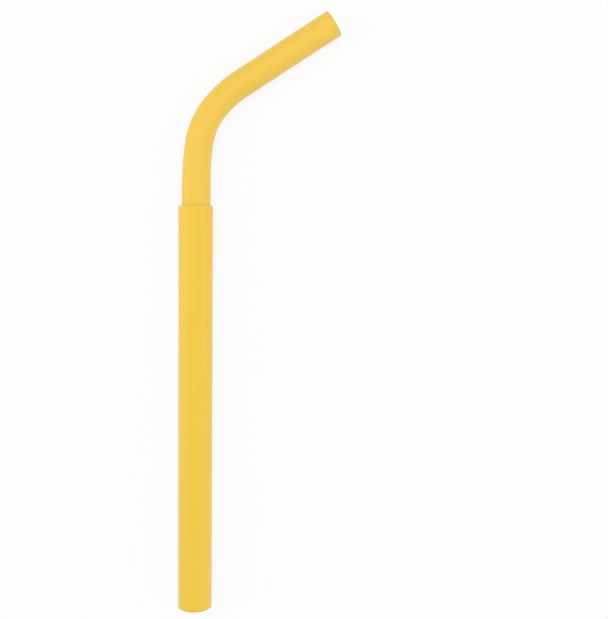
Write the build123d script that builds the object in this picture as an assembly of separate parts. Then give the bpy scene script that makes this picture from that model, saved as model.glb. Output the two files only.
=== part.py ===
from build123d import *
import math
import os

# A drinking straw of two silicone tubes. The narrow upper tube telescopes in the wide lower tube and
# bends over to a drinking tip. The straw lies on the floor: the lower tube runs along Y, the bend
# leans towards +X, +Z is up. All lengths are millimetres, all angles degrees.

# Upper tube: bore, wall and the run of its centre line, from the end inside the lower tube to the tip
upper_bore = 8.0
upper_wall = 1.0
insertion_depth = 120.0
neck_length = 6.0
entry_radius = 120.0
entry_angle = 7.0
bend_radius = 26.2
bend_angle = 33.5
exit_radius = 40.0
exit_angle = 16.0
tip_length = 38.0

# Upper tube: how far its outside draws in from the neck's radius. In the bend the soft wall
# flattens, so it draws in across the plane of the bend and swells a little the other way.
entry_flattening = 0.15
bend_flattening = 0.3
bend_swelling = 0.03
tip_taper = 0.23

# Lower tube
lower_wall = 0.8
lower_length = 143.5
mouth_bell = 0.09
mouth_bell_length = 10.0

# The upper tube slides in the lower tube with this radial clearance. The pull of the bend holds it
# to the side that the tip leans to, where only the side gap is left.
slip_clearance = 0.2
side_gap = 0.05

# Ends: the lip's long round leaves a narrow flat at the bore, the outer edges of the tip and the foot are
# round, and the other edges are only broken, apart from the sharp bore edge inside the lower tube
lip_length = 1.1
lip_flat = 0.1
tip_round = 0.3
foot_round = 0.3
edge_break = 0.12

# Radii that follow from the fit of the upper tube in the lower tube
upper_outer_radius = upper_bore / 2 + upper_wall
lower_bore_radius = upper_outer_radius + slip_clearance
lower_outer_radius = lower_bore_radius + lower_wall
mouth_outer_radius = lower_outer_radius + mouth_bell
tip_outer_radius = upper_outer_radius - tip_taper

# Centre line of the upper tube, in the plane of the bend, with the middle of the lower tube's foot
# at the origin
side_play = slip_clearance - side_gap
inner_end = Vector(side_play, lower_length - insertion_depth)
bend_start = Vector(side_play, lower_length + neck_length)
straight_run = Line(inner_end, bend_start)
entry_arc = JernArc(straight_run @ 1, straight_run % 1, entry_radius, -entry_angle)
main_arc = JernArc(entry_arc @ 1, entry_arc % 1, bend_radius, -bend_angle)
exit_arc = JernArc(main_arc @ 1, main_arc % 1, exit_radius, -exit_angle)
tip_run = Line(exit_arc @ 1, exit_arc @ 1 + (exit_arc % 1) * tip_length)


def across(run, end):
    """Plane square to a run of the centre line at its start (0) or end (1), its x in the bend's plane."""
    tangent = run % end
    return Plane(origin=run @ end, x_dir=tangent.cross(Vector(0, 0, 1)), z_dir=tangent)


def upper_form(inset):
    """The upper tube as a full rod, its surface drawn in by inset from the tube's outside."""
    neck = upper_outer_radius - inset
    tip = tip_outer_radius - inset
    swollen = neck + bend_swelling
    bend_sections = [
        across(entry_arc, 0) * Ellipse(neck, neck),
        across(entry_arc, 1) * Ellipse(neck - entry_flattening, swollen),
        across(main_arc, 1) * Ellipse(neck - bend_flattening, swollen),
        across(exit_arc, 1) * Ellipse(tip, tip),
    ]
    straight = extrude(across(straight_run, 0) * Circle(neck), straight_run.length)
    bend = sweep(bend_sections, path=Wire([entry_arc, main_arc, exit_arc]), multisection=True)
    mouthpiece = extrude(across(tip_run, 0) * Circle(tip), tip_run.length)
    return straight + bend + mouthpiece


def rims(tube, cut):
    """The edges of a tube that lie in the plane of a cut end, the bore's first."""
    in_plane = [edge for edge in tube.edges() if abs(cut.to_local_coords(edge @ 0.5).Z) < edge_break / 2]
    return sorted(in_plane, key=lambda edge: edge.length)


def make_upper_tube():
    """Narrow tube with one wall all along, its drinking end round and its other end only cut off."""
    tube = upper_form(0) - upper_form(upper_wall)
    tube = fillet(rims(tube, across(tip_run, 1))[-1], tip_round)
    tip_bore_edge = rims(tube, across(tip_run, 1))[0]
    inner_end_edge = rims(tube, across(straight_run, 0))[-1]
    return chamfer([tip_bore_edge, inner_end_edge], edge_break)


def make_lower_tube():
    """Wide tube turned about Y: plain from the foot up, then a slight bell and a round lip at the mouth."""
    bell_start = lower_length - mouth_bell_length
    lip_start = Vector(mouth_outer_radius, lower_length - lip_length)
    lip_width = lower_wall - lip_flat
    lip = EllipticalCenterArc(lip_start - Vector(lip_width, 0), lip_width, lip_length, arc_size=90)
    wall = Polyline(
        lip @ 1,
        (lower_bore_radius + mouth_bell, lower_length),
        (lower_bore_radius, bell_start),
        (lower_bore_radius, 0),
        (lower_outer_radius, 0),
        (lower_outer_radius, bell_start),
        lip @ 0,
    )
    section = make_face([lip, wall])
    section = fillet(section.vertices().group_by(Axis.Y)[0].sort_by(Axis.X)[-1], foot_round)
    section = chamfer(section.vertices().group_by(Axis.Y)[0].sort_by(Axis.X)[0], edge_break)
    return revolve(section, Axis.Y)


# At rest the bend leans over until the tip meets the floor that the lower tube's mouth lies on
tip_reach = (tip_run @ 1).X
rest_lean = math.degrees(math.asin((mouth_outer_radius - tip_outer_radius) / tip_reach))

lower_tube = make_lower_tube()
upper_tube = Rotation(0, rest_lean, 0) * make_upper_tube()

# The origin is on the floor, in the middle of the straw's footprint
footprint = lower_tube.bounding_box().add(upper_tube.bounding_box())
to_origin = Pos(-footprint.center().X, -footprint.center().Y, -footprint.min.Z)

os.makedirs("parts", exist_ok=True)
for node, shape in (("lower_tube", lower_tube), ("upper_tube", upper_tube)):
    export_step(to_origin * shape, f"parts/{node}.step")
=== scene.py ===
import logging
import math
from abc import ABC, abstractmethod
from dataclasses import dataclass, field
from enum import Enum
from typing import Any, Mapping, Sequence, Union

import bpy
from mathutils import Euler, Matrix, Vector


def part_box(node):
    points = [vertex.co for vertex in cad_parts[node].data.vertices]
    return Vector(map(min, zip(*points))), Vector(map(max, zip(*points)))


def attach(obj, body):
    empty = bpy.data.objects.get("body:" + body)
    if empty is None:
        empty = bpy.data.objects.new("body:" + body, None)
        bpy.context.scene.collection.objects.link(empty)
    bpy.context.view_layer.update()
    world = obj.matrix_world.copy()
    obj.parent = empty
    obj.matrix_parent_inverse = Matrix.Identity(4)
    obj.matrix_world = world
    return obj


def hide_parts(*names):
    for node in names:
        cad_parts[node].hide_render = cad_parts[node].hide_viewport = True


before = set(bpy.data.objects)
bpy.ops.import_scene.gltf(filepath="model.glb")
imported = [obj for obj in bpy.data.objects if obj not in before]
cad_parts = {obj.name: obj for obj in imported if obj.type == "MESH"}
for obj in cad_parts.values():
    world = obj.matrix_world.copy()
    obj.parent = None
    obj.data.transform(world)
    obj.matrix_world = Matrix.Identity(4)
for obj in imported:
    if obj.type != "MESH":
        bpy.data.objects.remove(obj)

# A soft drinking straw that lies on a pale floor. A narrow tube with a bent drinking tip stands in a
# wide straight tube. Lengths are metres, angles degrees, +Y runs along the wide tube and +Z is up.

MM = 0.001
STRAIGHT_PLACE = "straight_place"
# Mask of the end rims that take a darker colour, a painted shade on the tubes' end edges.
RIM_SHADE = "cut_rim"
WHITE = (1.0, 1.0, 1.0, 1.0)
NOISE_MEAN = 0.5
log = logging.getLogger("straw")

Triple = tuple[float, float, float]
Colour = Triple
Value = Union["Signal", bpy.types.NodeSocket, float, Sequence[float], None]
Settings = Mapping[str, Any] | None
Sockets = Mapping[int | str, Value] | None


class EdgeForm(Enum):
    """How an edge of a tube's end is finished, with the number of facets across it."""

    ROUND = 10
    BROKEN = 2
    SHARP = 0


class LampUse(Enum):
    """What a lamp is for in the studio."""

    TOP = "top_light"
    KEY = "key_light"
    FILL = "fill_light"


@dataclass(frozen=True)
class Edge:
    """One finished edge of a tube's end.

    Attributes:
        form: round, only broken, or left sharp.
        width: how far the edge reaches across the wall.
        depth: how far the edge reaches along the tube.
    """

    form: EdgeForm
    width: float = 0.0
    depth: float = 0.0

    def profile(self) -> list[tuple[float, float]]:
        """Walk over the edge from the side of the wall to the end face.

        Returns:
            Pairs of the depth below the end face and the distance in from the side.
        """
        facets = self.form.value
        if not facets:
            return [(0.0, 0.0)]
        quarter = math.radians(90)
        turns = [quarter * step / facets for step in range(facets + 1)]
        return [(self.depth * (1 - math.sin(turn)), self.width * (1 - math.cos(turn))) for turn in turns]


@dataclass(frozen=True)
class TubeEnd:
    """The finish of a tube's end.

    Attributes:
        outer: edge at the outside.
        inner: edge at the bore.
        cut: whether the rim of the end takes the darker rim colour, a painted shade on the end's edges.
    """

    outer: Edge
    inner: Edge
    cut: bool = True

    @property
    def depth(self) -> float:
        """How far the finished end reaches along the tube."""
        return max(self.outer.depth, self.inner.depth)


@dataclass(frozen=True)
class Station:
    """A place on a centre line.

    Attributes:
        point: the place.
        side: direction square to the line in the plane of the bend.
    """

    point: Vector
    side: Vector


@dataclass(frozen=True)
class Run:
    """A part of a centre line: an arc that turns towards +X, or a straight.

    Attributes:
        length: length along the line.
        radius: radius of the arc, None for a straight.
    """

    length: float
    radius: float | None = None

    @classmethod
    def arc(cls, radius: float, angle: float) -> "Run":
        """An arc of that radius and angle in degrees."""
        return cls(radius * math.radians(angle), radius)


@dataclass(frozen=True)
class CentreLine:
    """Runs that follow each other smoothly in the XY plane, starting along +Y.

    Attributes:
        start: where the first run begins.
        runs: the runs in order.
    """

    start: Vector
    runs: tuple[Run, ...]

    @property
    def length(self) -> float:
        """Length of all runs together."""
        return sum(run.length for run in self.runs)

    def marks(self) -> list[float]:
        """Distances at which the runs begin and end."""
        return [sum(run.length for run in self.runs[:count]) for count in range(len(self.runs) + 1)]

    @staticmethod
    def directions(heading: float) -> tuple[Vector, Vector]:
        """Directions along the line and to its side, for a heading in radians from +Y towards +X."""
        ahead, aside = math.cos(heading), math.sin(heading)
        return Vector((aside, ahead, 0)), Vector((ahead, -aside, 0))

    def at(self, distance: float) -> Station:
        """Find a place on the line.

        Args:
            distance: length from the start.

        Returns:
            The station there.
        """
        point, heading, left = self.start.copy(), 0.0, distance
        for run in self.runs:
            step = min(left, run.length)
            along, side = self.directions(heading)
            if run.radius is None:
                point = point + along * step
            else:
                turn = step / run.radius
                onward, inward = run.radius * math.sin(turn), run.radius * (1 - math.cos(turn))
                point = point + along * onward + side * inward
                heading += turn
            left -= step
        _, side = self.directions(heading)
        return Station(point, side)


@dataclass
class RingSkin:
    """A closed skin of equal rings, the last joined to the first, as a tube's wall is.

    Each point also keeps its place on the tube drawn straight, which the finish is laid out on, and
    whether it lies on a rim that takes the painted shade of the ends.

    Attributes:
        name: name of the piece.
        around: points in a ring.
        sharp_angle: angle between faces, in degrees, from which an edge is left sharp.
        rings: points of each ring.
        places: their places on the straight tube.
        shaded_rims: whether each ring is part of a rim with painted shade.
    """

    name: str
    around: int = 128
    sharp_angle: float = 50.0
    rings: list[list[Vector]] = field(default_factory=list)
    places: list[list[Vector]] = field(default_factory=list)
    shaded_rims: list[bool] = field(default_factory=list)

    def add(self, station: Station, radii: tuple[float, float], distance: float, cut: bool) -> None:
        """Add a ring square to the centre line.

        Args:
            station: the place on the centre line.
            radii: radius in the plane of the bend and square to it.
            distance: length along the line, for the straightened place.
            cut: whether the ring is part of a rim with painted shade.
        """
        turns = [math.tau * step / self.around for step in range(self.around)]
        flat = [(radii[0] * math.cos(turn), radii[1] * math.sin(turn)) for turn in turns]
        up = Vector((0, 0, 1))
        self.rings.append([station.point + station.side * x + up * z for x, z in flat])
        self.places.append([Vector((x, distance, z)) for x, z in flat])
        self.shaded_rims.append(cut)

    def piece(self, placing: Matrix) -> bpy.types.Object:
        """Make the mesh object.

        Args:
            placing: moves the skin from its own frame to the row's frame.

        Returns:
            The new object, with its place in its vertices.
        """
        count = len(self.rings)
        corners = [placing @ point for ring in self.rings for point in ring]
        faces = []
        for ring in range(count):
            here, there = ring * self.around, (ring + 1) % count * self.around
            for step in range(self.around):
                after = (step + 1) % self.around
                faces.append((here + step, there + step, there + after, here + after))
        mesh = bpy.data.meshes.new(self.name)
        mesh.from_pydata(corners, [], faces)
        mesh.shade_smooth()
        mesh.set_sharp_from_angle(angle=math.radians(self.sharp_angle))
        flat = [value for ring in self.places for place in ring for value in place]
        mesh.attributes.new(STRAIGHT_PLACE, "FLOAT_VECTOR", "POINT").data.foreach_set("vector", flat)
        # Mask of the painted shade: 1 on the rings of the shaded end rims, 0 elsewhere.
        shade_flags = [float(cut) for cut in self.shaded_rims for _ in range(self.around)]
        mesh.attributes.new(RIM_SHADE, "FLOAT", "POINT").data.foreach_set("value", shade_flags)
        made = bpy.data.objects.new(self.name, mesh)
        bpy.context.scene.collection.objects.link(made)
        return made


class Signal:
    """A socket of a node graph, with operators that add the Math nodes they stand for."""

    def __init__(self, graph: "NodeGraph", socket: bpy.types.NodeSocket) -> None:
        """Wrap a socket of that graph."""
        self.graph = graph
        self.socket = socket

    def _maths(self, operation: str, first: Value, second: Value) -> "Signal":
        """One Math node on two values."""
        return self.graph.signal("ShaderNodeMath", {"operation": operation}, {0: first, 1: second})

    def __add__(self, other: Value) -> "Signal":
        """Sum of two values."""
        return self._maths("ADD", self, other)

    def __radd__(self, other: Value) -> "Signal":
        """Sum with a number on the left."""
        return self._maths("ADD", other, self)

    def __sub__(self, other: Value) -> "Signal":
        """Difference of two values."""
        return self._maths("SUBTRACT", self, other)

    def __rsub__(self, other: Value) -> "Signal":
        """Difference with a number on the left."""
        return self._maths("SUBTRACT", other, self)

    def __mul__(self, other: Value) -> "Signal":
        """Product of two values."""
        return self._maths("MULTIPLY", self, other)

    def __rmul__(self, other: Value) -> "Signal":
        """Product with a number on the left."""
        return self._maths("MULTIPLY", other, self)

    def __or__(self, other: Value) -> "Signal":
        """The larger of two values."""
        return self._maths("MAXIMUM", self, other)

    def __ror__(self, other: Value) -> "Signal":
        """The larger of two values, with a number on the left."""
        return self._maths("MAXIMUM", other, self)


class NodeGraph:
    """The nodes of one material, or of the world."""

    # Sockets of a Mix node for colours, by number because its other kinds have sockets of the same names
    MIX_FACTOR, MIX_FIRST, MIX_SECOND, MIX_RESULT = 0, 6, 7, 2

    def __init__(self, owner: bpy.types.Material | bpy.types.World) -> None:
        """Start with an empty node tree.

        Args:
            owner: what the nodes belong to.
        """
        owner.use_nodes = True
        self.tree = owner.node_tree
        self.tree.nodes.clear()

    def node(self, kind: str, settings: Settings = None, sockets: Sockets = None) -> bpy.types.Node:
        """Add a node.

        Args:
            kind: the node's type.
            settings: properties of the node, set before its sockets.
            sockets: values or links for its inputs, by name or number.

        Returns:
            The new node.
        """
        made = self.tree.nodes.new(kind)
        for name, value in (settings or {}).items():
            setattr(made, name, value)
        for name, value in (sockets or {}).items():
            source = value.socket if isinstance(value, Signal) else value
            if isinstance(source, bpy.types.NodeSocket):
                self.tree.links.new(source, made.inputs[name])
            else:
                made.inputs[name].default_value = source
        return made

    def signal(
        self, kind: str, settings: Settings = None, sockets: Sockets = None, output: int | str = 0
    ) -> Signal:
        """Add a node and wrap one of its outputs.

        Args:
            kind: the node's type.
            settings: properties of the node.
            sockets: values or links for its inputs.
            output: the output to wrap.

        Returns:
            The output as a signal.
        """
        return Signal(self, self.node(kind, settings, sockets).outputs[output])

    def mixed(self, factor: Value, first: Colour | Signal, second: Colour | Signal) -> Signal:
        """Blend two colours.

        Args:
            factor: share of the second colour.
            first: colour at 0.
            second: colour at 1.

        Returns:
            The blended colour.
        """
        ends = (first, second)
        start, end = (colour if isinstance(colour, Signal) else (*colour, 1.0) for colour in ends)
        return self.signal(
            "ShaderNodeMix",
            {"data_type": "RGBA"},
            {self.MIX_FACTOR: factor, self.MIX_FIRST: start, self.MIX_SECOND: end},
            self.MIX_RESULT,
        )

    def noise(
        self, place: Signal, scale: float, detail: float, stretch: Triple = (1.0, 1.0, 1.0)
    ) -> Signal:
        """Soft noise from 0 to 1.

        Args:
            place: coordinates.
            scale: waves per metre.
            detail: octaves.
            stretch: factors on the three coordinates.

        Returns:
            The noise value.
        """
        spread = self.signal("ShaderNodeVectorMath", {"operation": "MULTIPLY"}, {0: place, 1: stretch})
        return self.signal("ShaderNodeTexNoise", None, {"Vector": spread, "Scale": scale, "Detail": detail})

    def seen(self) -> Signal:
        """Tell what is seen from what only gives light.

        Returns:
            1 where the eye looks straight on, by a reflection or through something clear, and 0 elsewhere.
        """
        path = self.node("ShaderNodeLightPath")
        rays = ("Is Camera Ray", "Is Glossy Ray", "Is Transmission Ray")
        straight, mirrored, through = (Signal(self, path.outputs[ray]) for ray in rays)
        return straight | mirrored | through


@dataclass(frozen=True)
class SiliconeFinish:
    """Matte moulded silicone, dyed through, with a fine skin, faint lines along the tube and painted shade
    on the end rims.

    Attributes:
        name: name of the material.
        body: main colour.
        deep: colour in the drawn lines.
        bloom: paler colour of the skin where it has been handled.
        rim: darker colour painted on the end rims as shade on the ends' edges.
        mottle_scale: clouds of bloom per metre.
        mottle_share: most of the bloom that shows in a cloud.
        line_scale: lines per metre round the tube.
        line_stretch: how much slower the lines change along the tube than round it.
        line_share: most of the deep colour that shows in a line.
        line_height: relief of the lines.
        grain_scale: grains per metre.
        grain_height: relief of the grain.
        octaves: layers of detail in the clouds and the lines.
        grain_octaves: layers of detail in the grain.
        roughness: mean roughness of the skin.
        roughness_spread: how far the roughness changes over the skin.
        refraction: index of refraction of the rubber.
        soft_share: share of the light that spreads under the skin.
        soft_depth: how far it spreads.
        soft_spread: how far red, green and blue spread, as shares of that depth.
        sheen: strength of the dusty sheen at the sides.
        sheen_roughness: how wide the sheen spreads.
    """

    name: str
    body: Colour
    deep: Colour
    bloom: Colour
    rim: Colour
    mottle_scale: float = 70.0
    mottle_share: float = 0.7
    line_scale: float = 1100.0
    line_stretch: float = 0.012
    line_share: float = 0.5
    line_height: float = 0.006 * MM
    grain_scale: float = 7000.0
    grain_height: float = 0.004 * MM
    octaves: float = 3.0
    grain_octaves: float = 2.0
    roughness: float = 0.5
    roughness_spread: float = 0.1
    refraction: float = 1.41
    soft_share: float = 0.12
    soft_depth: float = 1.2 * MM
    soft_spread: Triple = (1.0, 0.6, 0.15)
    sheen: float = 0.32
    sheen_roughness: float = 0.5

    def material(self) -> bpy.types.Material:
        """Build the node material.

        Returns:
            The material.
        """
        made = bpy.data.materials.new(self.name)
        graph = NodeGraph(made)
        place = graph.signal("ShaderNodeAttribute", {"attribute_name": STRAIGHT_PLACE}, None, "Vector")
        cut = graph.signal("ShaderNodeAttribute", {"attribute_name": RIM_SHADE}, None, "Fac")
        mottle = graph.noise(place, self.mottle_scale, self.octaves)
        lines = graph.noise(place, self.line_scale, self.octaves, (1.0, self.line_stretch, 1.0))
        grain = graph.noise(place, self.grain_scale, self.grain_octaves)
        skin = graph.mixed(mottle * self.mottle_share, self.body, self.bloom)
        drawn = graph.mixed(lines * self.line_share, skin, self.deep)
        # Painted shade: the rims of the ends turn to the darker rim colour.
        colour = graph.mixed(cut, drawn, self.rim)
        roughness = self.roughness + (grain + mottle - 2 * NOISE_MEAN) * self.roughness_spread
        relief = lines * self.line_height + grain * self.grain_height
        in_metres = {"Strength": 1.0, "Distance": 1.0, "Height": relief}
        bump = graph.signal("ShaderNodeBump", None, in_metres, "Normal")
        shader = graph.signal(
            "ShaderNodeBsdfPrincipled",
            None,
            {
                "Base Color": colour,
                "Roughness": roughness,
                "Normal": bump,
                "IOR": self.refraction,
                "Subsurface Weight": self.soft_share,
                "Subsurface Radius": self.soft_spread,
                "Subsurface Scale": self.soft_depth,
                "Sheen Weight": self.sheen,
                "Sheen Roughness": self.sheen_roughness,
            },
        )
        graph.node("ShaderNodeOutputMaterial", None, {"Surface": shader})
        return made


@dataclass(frozen=True)
class FloorFinish:
    """Pale paper floor that reads as white where no shadow falls and fades into the white sky far out.

    Attributes:
        name: name of the material.
        paper: colour of the paper.
        glow: share of plain white that is seen in it round the straw.
        fade_start: distance from the middle where that share begins to grow.
        fade_end: distance from the middle where only white is seen.
    """

    name: str = "pale_floor"
    paper: Colour = (0.86, 0.86, 0.86)
    glow: float = 0.84
    fade_start: float = 0.25
    fade_end: float = 0.58

    def material(self) -> bpy.types.Material:
        """Build the node material.

        Returns:
            The material.
        """
        made = bpy.data.materials.new(self.name)
        graph = NodeGraph(made)
        paper = graph.signal("ShaderNodeBsdfDiffuse", None, {"Color": (*self.paper, 1.0)})
        white = graph.signal("ShaderNodeEmission", None, {"Color": WHITE, "Strength": 1.0})
        place = graph.signal("ShaderNodeNewGeometry", None, None, "Position")
        away = graph.signal("ShaderNodeVectorMath", {"operation": "LENGTH"}, {0: place}, "Value")
        share = graph.signal(
            "ShaderNodeMapRange",
            {"interpolation_type": "SMOOTHSTEP"},
            {
                "Value": away,
                "From Min": self.fade_start,
                "From Max": self.fade_end,
                "To Min": self.glow,
                "To Max": 1.0,
            },
        )
        floor = graph.signal("ShaderNodeMixShader", None, {0: graph.seen() * share, 1: paper, 2: white})
        graph.node("ShaderNodeOutputMaterial", None, {"Surface": floor})
        return made


@dataclass
class Tube(ABC):
    """One tube of the straw: a wall of even thickness round a centre line, open at both ends.

    Attributes:
        wall: thickness of the wall.
        finish: what the tube is dressed in.
        spacing: distance of the rings on straight runs.
        bend_spacing: distance of the rings on arcs.
        end_margin: distance of the first and last plain rings from the finished ends.
    """

    wall: float
    finish: SiliconeFinish
    spacing: float = 3.0 * MM
    bend_spacing: float = 0.8 * MM
    end_margin: float = 0.4 * MM

    @property
    @abstractmethod
    def node(self) -> str:
        """Name of the solid that the tube stands for."""

    @property
    @abstractmethod
    def body(self) -> str:
        """Name of the body that the tube rides on."""

    @property
    @abstractmethod
    def ends(self) -> tuple[TubeEnd, TubeEnd]:
        """Finish of the first and the last end."""

    @abstractmethod
    def line(self) -> CentreLine:
        """Centre line in the straw's own frame."""

    @abstractmethod
    def radii(self, distance: float) -> tuple[float, float]:
        """Outer radii of the tube.

        Args:
            distance: length along the centre line.

        Returns:
            Radii in the bend's plane and square to it.
        """

    def distances(self) -> list[float]:
        """Places of the rings between the two finished ends.

        Returns:
            Distances along the centre line, in order.
        """
        line = self.line()
        marks = line.marks()
        first = self.ends[0].depth + self.end_margin
        last = line.length - self.ends[1].depth - self.end_margin
        places: list[float] = []
        for run, start, end in zip(line.runs, marks[:-1], marks[1:]):
            start, end = max(start, first), min(end, last)
            pitch = self.spacing if run.radius is None else self.bend_spacing
            steps = max(1, round((end - start) / pitch))
            places += [start + (end - start) * step / steps for step in range(steps)]
        return [*places, last]

    def skin(self) -> RingSkin:
        """Lay the rings: out along the outside, over the far end, back along the bore, round the near end.

        Returns:
            The closed skin.
        """
        line, places, skin = self.line(), self.distances(), RingSkin(f"{self.node}_skin")

        def lay(distance: float, inset: float, cut: bool = False) -> None:
            """Lay one ring, drawn in from the outside."""
            outer = self.radii(distance)
            skin.add(line.at(distance), (outer[0] - inset, outer[1] - inset), distance, cut)

        near, far = self.ends
        for distance in places:
            lay(distance, 0.0)
        # The rings over each end's edges carry the painted rim shade where that end takes it.
        for depth, inset in far.outer.profile():
            lay(line.length - depth, inset, far.cut)
        for depth, inset in reversed(far.inner.profile()):
            lay(line.length - depth, self.wall - inset, far.cut)
        for distance in reversed(places):
            lay(distance, self.wall)
        for depth, inset in near.inner.profile():
            lay(depth, self.wall - inset, near.cut)
        for depth, inset in reversed(near.outer.profile()):
            lay(depth, inset, near.cut)
        return skin

    def build(self, placing: Matrix) -> None:
        """Make the piece, dress it and put it on its body.

        Args:
            placing: moves the straw's own frame to the row's frame.
        """
        piece = self.skin().piece(placing)
        piece.data.materials.append(self.finish.material())
        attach(piece, self.body)
        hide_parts(self.node)
        log.info("%s: %d faces", piece.name, len(piece.data.polygons))


@dataclass
class LowerTube(Tube):
    """Wide straight tube with a slight bell and a long round lip at its mouth.

    Attributes:
        outer_radius: radius of the plain part.
        length: length from foot to mouth.
        mouth_bell: how much wider the radius is at the mouth.
        bell_length: length over which it widens.
        lip_length: how far the lip's round reaches along the tube.
        lip_flat: width of the flat that it leaves at the bore.
        foot_round: radius of the foot's outer edge.
        edge_break: width of the broken edge at the foot's bore.
    """

    wall: float = 0.8 * MM
    finish: SiliconeFinish = SiliconeFinish(
        "silicone_wide_tube",
        body=(0.83, 0.54, 0.033),
        deep=(0.78, 0.485, 0.025),
        bloom=(0.85, 0.575, 0.058),
        # Darker rim colour: painted shade on the foot's rim.
        rim=(0.66, 0.43, 0.035),
    )
    outer_radius: float = 6.0 * MM
    length: float = 143.5 * MM
    mouth_bell: float = 0.09 * MM
    bell_length: float = 10.0 * MM
    lip_length: float = 1.1 * MM
    lip_flat: float = 0.1 * MM
    foot_round: float = 0.3 * MM
    edge_break: float = 0.12 * MM

    @property
    def node(self) -> str:
        """Name of the wide tube's solid."""
        return "lower_tube"

    @property
    def body(self) -> str:
        """Name of the wide tube's body."""
        return "lower"

    @property
    def mouth_radius(self) -> float:
        """Outer radius where the lip's round begins."""
        return self.outer_radius + self.mouth_bell

    @property
    def ends(self) -> tuple[TubeEnd, TubeEnd]:
        """A round outer edge at the foot, a long round lip at the mouth.

        Returns:
            Finish of the foot and of the mouth.
        """
        foot = Edge(EdgeForm.ROUND, self.foot_round, self.foot_round)
        broken = Edge(EdgeForm.BROKEN, self.edge_break, self.edge_break)
        lip = Edge(EdgeForm.ROUND, self.wall - self.lip_flat, self.lip_length)
        # Painted shade on the foot's rim, none on the lip.
        return TubeEnd(foot, broken), TubeEnd(lip, Edge(EdgeForm.SHARP), cut=False)

    def line(self) -> CentreLine:
        """Straight line from the middle of the foot."""
        plain = self.length - self.bell_length
        return CentreLine(Vector((0, 0, 0)), (Run(plain), Run(self.bell_length)))

    def radii(self, distance: float) -> tuple[float, float]:
        """Round, a little wider towards the mouth.

        Args:
            distance: length from the foot.

        Returns:
            The same radius twice.
        """
        past = distance - (self.length - self.bell_length)
        share = min(max(past / (self.bell_length - self.lip_length), 0.0), 1.0)
        radius = self.outer_radius + self.mouth_bell * share
        return radius, radius


@dataclass
class UpperTube(Tube):
    """Narrow tube that stands in the wide one, bends over and ends in the drinking tip.

    Attributes:
        outer_radius: radius of the straight run.
        side_play: how far it stands to the tip's side of the wide tube's axis.
        inner_end: distance of its hidden end from the wide tube's foot.
        straight: length of the straight run, hidden part and neck.
        entry_radius, entry_angle: the arc that eases into the bend.
        bend_radius, bend_angle: the main arc.
        exit_radius, exit_angle: the arc that eases out of the bend.
        tip_length: length of the straight tip.
        entry_flattening, bend_flattening: how far the radius draws in at the ends of the main arc.
        bend_swelling: how far it swells square to the bend's plane.
        tip_taper: how much thinner the tip's radius is.
        tip_round: radius of the tip's outer edge.
        edge_break: width of the broken edges.
    """

    wall: float = 1.0 * MM
    finish: SiliconeFinish = SiliconeFinish(
        "silicone_narrow_tube",
        body=(0.83, 0.54, 0.05),
        deep=(0.78, 0.49, 0.038),
        bloom=(0.85, 0.575, 0.074),
        # Darker rim colour: painted shade on the rims of both ends.
        rim=(0.7, 0.48, 0.06),
    )
    outer_radius: float = 5.0 * MM
    side_play: float = 0.15 * MM
    inner_end: float = 23.5 * MM
    straight: float = 126.0 * MM
    entry_radius: float = 120.0 * MM
    entry_angle: float = 7.0
    bend_radius: float = 26.2 * MM
    bend_angle: float = 33.5
    exit_radius: float = 40.0 * MM
    exit_angle: float = 16.0
    tip_length: float = 38.0 * MM
    entry_flattening: float = 0.15 * MM
    bend_flattening: float = 0.3 * MM
    bend_swelling: float = 0.03 * MM
    tip_taper: float = 0.23 * MM
    tip_round: float = 0.3 * MM
    edge_break: float = 0.12 * MM

    @property
    def node(self) -> str:
        """Name of the narrow tube's solid."""
        return "upper_tube"

    @property
    def body(self) -> str:
        """Name of the narrow tube's body."""
        return "upper"

    @property
    def tip_radius(self) -> float:
        """Outer radius of the drinking tip."""
        return self.outer_radius - self.tip_taper

    @property
    def ends(self) -> tuple[TubeEnd, TubeEnd]:
        """A plain end with a broken edge where it is hidden, a round outer edge at the tip, and painted
        shade on the rims of both.

        Returns:
            Finish of the hidden end and of the tip.
        """
        broken = Edge(EdgeForm.BROKEN, self.edge_break, self.edge_break)
        tip = Edge(EdgeForm.ROUND, self.tip_round, self.tip_round)
        return TubeEnd(broken, Edge(EdgeForm.SHARP)), TubeEnd(tip, broken)

    def line(self) -> CentreLine:
        """Straight run, three arcs that ease in and out of the bend, and the tip's run.

        Returns:
            Centre line from the hidden end to the tip.
        """
        return CentreLine(
            Vector((self.side_play, self.inner_end, 0)),
            (
                Run(self.straight),
                Run.arc(self.entry_radius, self.entry_angle),
                Run.arc(self.bend_radius, self.bend_angle),
                Run.arc(self.exit_radius, self.exit_angle),
                Run(self.tip_length),
            ),
        )

    def radii(self, distance: float) -> tuple[float, float]:
        """Flattened in the bend's plane and a little swollen across it, then round and narrower at the tip.

        Args:
            distance: length along the centre line.

        Returns:
            Outer radii in the bend's plane and square to it.
        """
        neck, swollen = self.outer_radius, self.outer_radius + self.bend_swelling
        sections = [
            (neck, neck),
            (neck - self.entry_flattening, swollen),
            (neck - self.bend_flattening, swollen),
            (self.tip_radius, self.tip_radius),
        ]
        marks = self.line().marks()[1:-1]
        if distance <= marks[0]:
            return sections[0]
        if distance >= marks[-1]:
            return sections[-1]
        index = max(step for step in range(len(marks) - 1) if distance >= marks[step])
        share = (distance - marks[index]) / (marks[index + 1] - marks[index])
        ease = share * share * (3 - 2 * share)
        before, after = sections[index], sections[index + 1]
        return before[0] + (after[0] - before[0]) * ease, before[1] + (after[1] - before[1]) * ease


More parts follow.
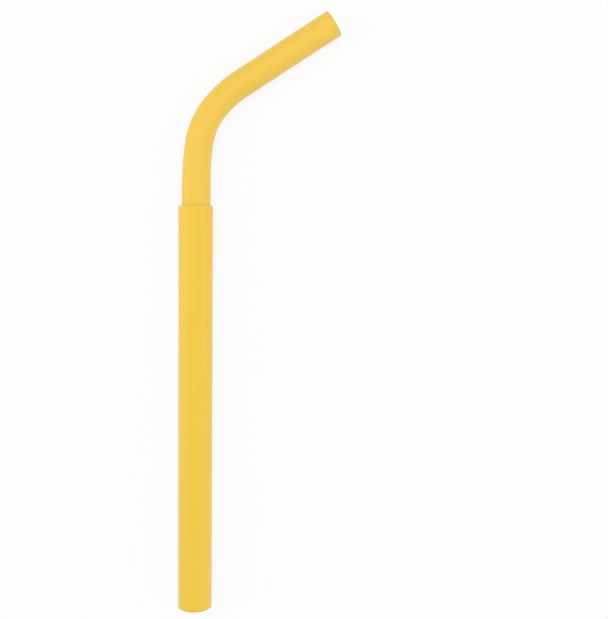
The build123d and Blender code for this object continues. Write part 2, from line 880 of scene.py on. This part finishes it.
@dataclass
class Straw:
    """Both tubes, placed where the solids lie.

    Attributes:
        lower: the wide tube.
        upper: the narrow tube.
    """

    lower: LowerTube = field(default_factory=LowerTube)
    upper: UpperTube = field(default_factory=UpperTube)

    def lean(self) -> float:
        """Angle in radians by which the bend leans over until its tip lies on the floor with the mouth."""
        line = self.upper.line()
        return math.asin((self.lower.mouth_radius - self.upper.tip_radius) / line.at(line.length).point.x)

    def build(self) -> None:
        """Build and dress both tubes."""
        low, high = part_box(self.lower.node)
        axis = Matrix.Translation(((low[0] + high[0]) / 2, low[1], (low[2] + high[2]) / 2))
        self.lower.build(axis)
        self.upper.build(axis @ Matrix.Rotation(self.lean(), 4, "Y"))


@dataclass(frozen=True)
class Lamp:
    """A soft square lamp that points at the straw.

    Attributes:
        use: what the lamp is for.
        place: where its middle hangs.
        size: length of its sides.
        power: watts.
    """

    use: LampUse
    place: Triple
    size: float
    power: float

    def hang(self, target: Vector) -> None:
        """Add the lamp.

        Args:
            target: the point that it is turned to.
        """
        data = bpy.data.lights.new(self.use.value, "AREA")
        data.size = self.size
        data.energy = self.power
        made = bpy.data.objects.new(self.use.value, data)
        made.location = self.place
        made.rotation_euler = (target - Vector(self.place)).to_track_quat("-Z", "Y").to_euler()
        bpy.context.scene.collection.objects.link(made)
        log.info("%s at %s", self.use.value, self.place)


@dataclass
class Studio:
    """Floor, soft light and the camera that looks down on the straw.

    Attributes:
        floor_half: half the length of the floor's sides.
        floor: what the floor is dressed in.
        sky: strength of the even light from all round.
        lamps: the lamps.
        target: the point that they are turned to.
        eye: where the camera stands.
        tilt: its turn about X from looking straight down.
        roll: its turn about Z.
        lens: focal length in millimetres.
        film: width of the film in millimetres.
        nearest: distance from which the camera sees.
    """

    floor_half: float = 0.6
    floor: FloorFinish = FloorFinish()
    sky: float = 0.55
    lamps: tuple[Lamp, ...] = (
        Lamp(LampUse.TOP, place=(0.0, 0.18, 0.68), size=0.45, power=1.55),
        Lamp(LampUse.KEY, place=(-0.75, 0.04, 0.33), size=0.5, power=2.15),
        Lamp(LampUse.FILL, place=(0.65, -0.06, 0.4), size=0.6, power=1.95),
    )
    target: Triple = (0.0, 0.0, 0.006)
    eye: Triple = (0.015938, 0.030728, 0.339830)
    tilt: float = -4.8244
    roll: float = 0.6746
    lens: float = 55.541
    film: float = 36.0
    nearest: float = 0.01

    def lay_floor(self) -> None:
        """Add the pale floor under the straw."""
        half = self.floor_half
        corners = [(-half, -half, 0), (half, -half, 0), (half, half, 0), (-half, half, 0)]
        mesh = bpy.data.meshes.new("floor")
        mesh.from_pydata(corners, [], [(0, 1, 2, 3)])
        mesh.materials.append(self.floor.material())
        floor = bpy.data.objects.new("floor", mesh)
        bpy.context.scene.collection.objects.link(floor)

    def light(self) -> None:
        """Add an even sky, white where it is seen, and the lamps."""
        world = bpy.data.worlds.new("studio")
        bpy.context.scene.world = world
        graph = NodeGraph(world)
        level = self.sky + graph.seen() * (1.0 - self.sky)
        sky = graph.signal("ShaderNodeBackground", None, {"Color": WHITE, "Strength": level})
        graph.node("ShaderNodeOutputWorld", None, {"Surface": sky})
        for lamp in self.lamps:
            lamp.hang(Vector(self.target))

    def set_camera(self) -> None:
        """Add the camera and the plain view transform."""
        data = bpy.data.cameras.new("camera")
        data.sensor_width = self.film
        data.lens = self.lens
        data.clip_start = self.nearest
        camera = bpy.data.objects.new("camera", data)
        camera.location = self.eye
        camera.rotation_euler = Euler((math.radians(self.tilt), 0, math.radians(self.roll)), "XYZ")
        bpy.context.scene.collection.objects.link(camera)
        bpy.context.scene.camera = camera
        bpy.context.scene.view_settings.view_transform = "Standard"


def main() -> None:
    """Build the straw and its studio."""
    logging.basicConfig(level=logging.INFO, format="%(name)s: %(message)s")
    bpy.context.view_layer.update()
    Straw().build()
    studio = Studio()
    studio.lay_floor()
    studio.light()
    studio.set_camera()


if __name__ == "__main__":
    main()
